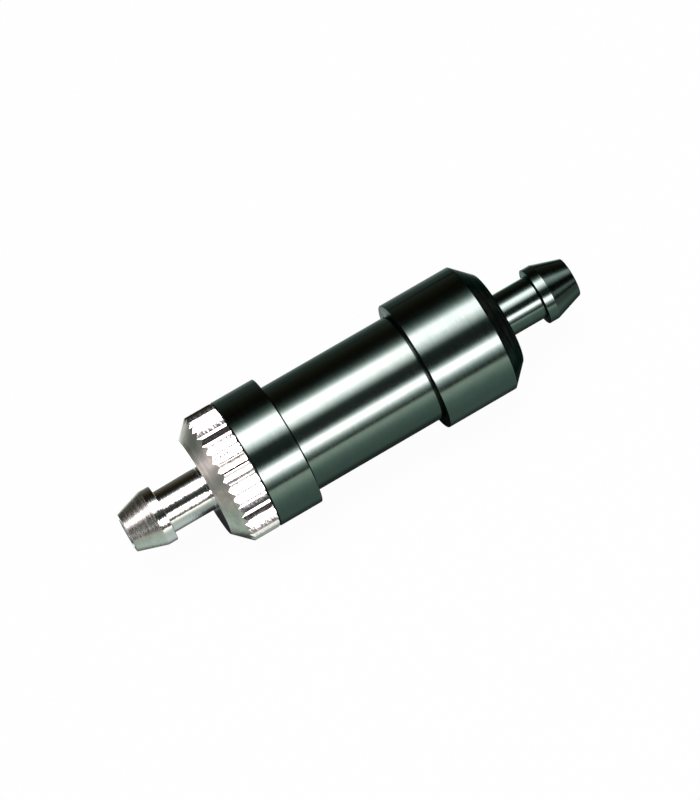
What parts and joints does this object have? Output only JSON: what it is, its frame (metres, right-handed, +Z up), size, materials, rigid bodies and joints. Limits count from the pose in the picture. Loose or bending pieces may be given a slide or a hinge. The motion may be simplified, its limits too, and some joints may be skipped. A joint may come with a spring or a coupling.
{
  "type": "inline fuel filter",
  "caption": "Inline fuel filter for small engines: metal housing, screw-on knurled cap, cleanable mesh element, and a barbed hose nipple at each end.",
  "frame": {"origin": "on the axis, at the middle of the overall length", "axes": "+X along the filter, from the cap's nipple to the head's nipple; +Z up"},
  "size_m": [0.044, 0.012, 0.012],
  "materials": {
    "dark_anodised": "gloss, finely turned",
    "bright_aluminium": "bright, as turned",
    "nitrile": "matte",
    "brass": "turned",
    "stainless_tube": "brushed",
    "wire_cloth": "woven",
    "spring_wire": "drawn wire"
  },
  "bodies": {
    "housing": {"housing": "dark_anodised", "element_spring": "spring_wire"},
    "element": {"element_collar": "brass", "element_core": "stainless_tube", "element_mesh": "wire_cloth", "element_end_disc": "brass"},
    "cap": {"end_cap": "bright_aluminium", "cap_o_ring": "nitrile", "element_gasket": "nitrile"}
  },
  "joints": [
    {"name": "cap_travel", "type": "slide", "parent": "housing", "child": "element", "axis": [-1, 0, 0], "range_m": [0, 0.00225], "deforming": ["element_spring"]},
    {"name": "cap_unscrew", "type": "hinge", "parent": "element", "child": "cap", "pos_m": [0, 0, 0], "axis": [-1, 0, 0], "range_deg": [0, 1080]}
  ],
  "couplings": [
    {"joint": "cap_unscrew", "follows": "cap_travel", "rad_per_m": 8377.6}
  ]
}
